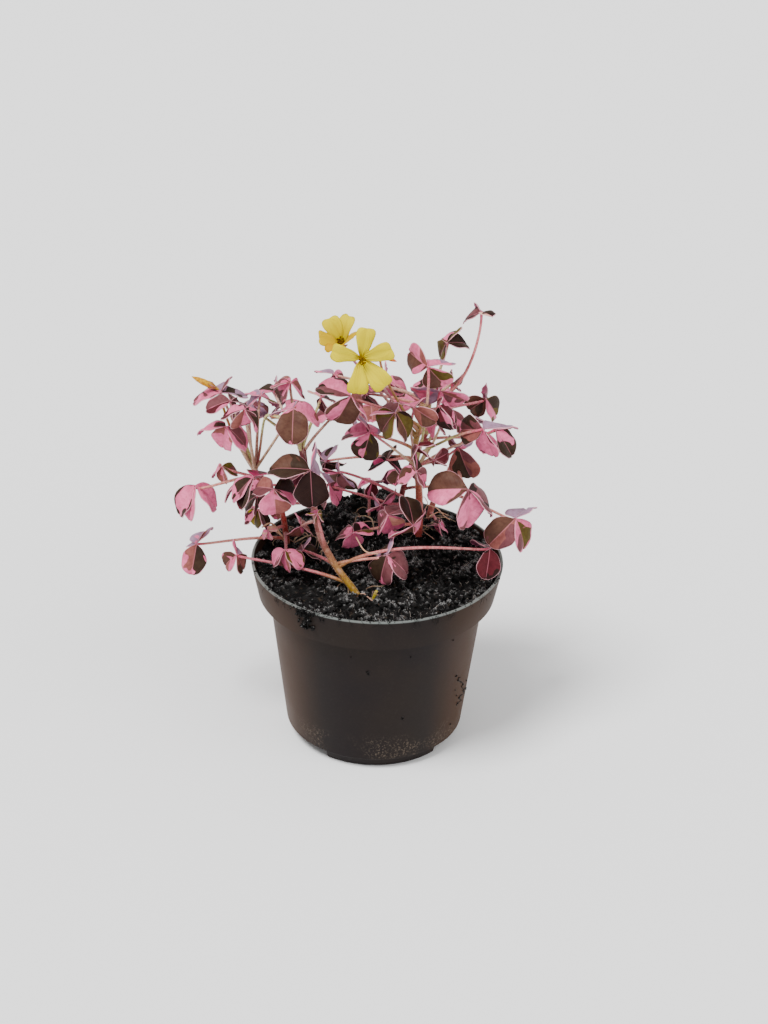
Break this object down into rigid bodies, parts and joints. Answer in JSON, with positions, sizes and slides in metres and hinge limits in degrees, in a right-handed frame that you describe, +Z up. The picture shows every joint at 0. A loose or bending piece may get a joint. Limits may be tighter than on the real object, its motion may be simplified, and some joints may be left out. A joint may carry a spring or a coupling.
{
  "type": "potted purple shamrock",
  "caption": "Bushy purple shamrock with folded three-part leaves and open yellow flowers on arching stems, growing from black soil in a round tapered nursery pot.",
  "frame": {"origin": "centre of the pot's foot, on the surface that the pot stands on", "axes": "+Z up along the pot's axis; -Y towards the front of the plant as pictured; +X to the picture's right"},
  "size_m": [0.1479, 0.105, 0.1949],
  "materials": {
    "pot_plastic": "thin dark brown plastic, faintly glossy, scuffed near the foot",
    "peat": "damp black crumbly peat with pale fibres and specks",
    "foliage": "satin leaf in mauve-brown, pink and dark olive, with soft dull stems",
    "yellow_petal": "thin satin petal"
  },
  "bodies": {
    "root": {"pot": "pot_plastic", "soil": "peat", "stem_left": "foliage", "stem_front": "foliage", "stem_right": "foliage", "stem_far_right": "foliage", "stem_back_left": "foliage", "stem_back_right": "foliage", "stem_shoot": "foliage", "stem_sprout": "foliage", "bloom_front": "yellow_petal", "bloom_back": "yellow_petal", "bud_left": "yellow_petal", "bud_cream": "yellow_petal", "bud_right": "yellow_petal"}
  },
  "joints": []
}
